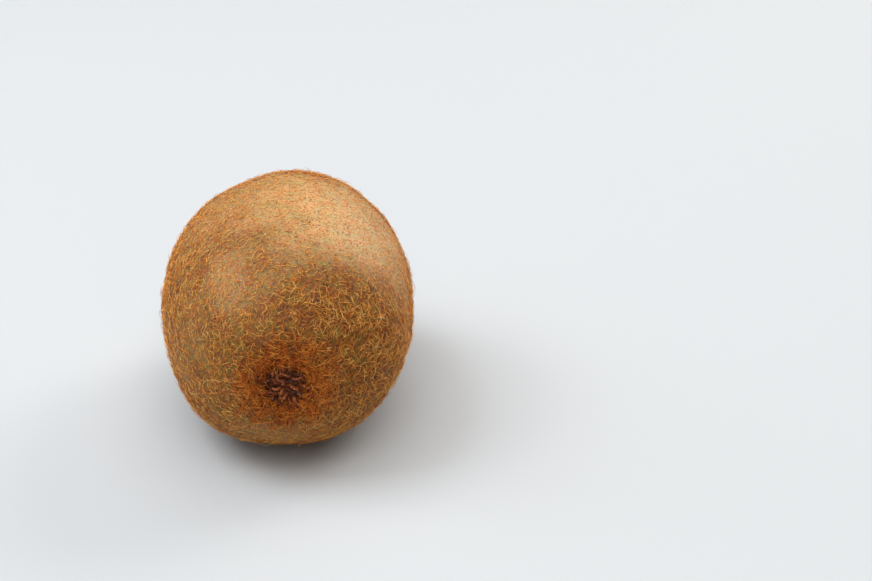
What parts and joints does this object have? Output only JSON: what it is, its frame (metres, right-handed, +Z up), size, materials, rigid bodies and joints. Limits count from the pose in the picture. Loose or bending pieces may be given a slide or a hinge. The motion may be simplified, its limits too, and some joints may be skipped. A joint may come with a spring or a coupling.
{
  "type": "kiwi fruit",
  "caption": "Whole kiwi fruit lying on its side, barrel-shaped with blunt ends, a tuft of dried styles in a shallow pit at the blossom end and a cupped stem scar at the other.",
  "frame": {"origin": "middle of the underside of the whole fruit, on the surface that it rests on", "axes": "+Z up, +Y along the fruit from the blossom end to the stem end"},
  "size_m": [0.05, 0.0678, 0.0467],
  "materials": {
    "skin": "matte, hairy brown skin",
    "dried_styles": "dry, dull dark brown"
  },
  "bodies": {
    "root": {"fruit": "skin", "style_tuft": "dried_styles"}
  },
  "joints": []
}
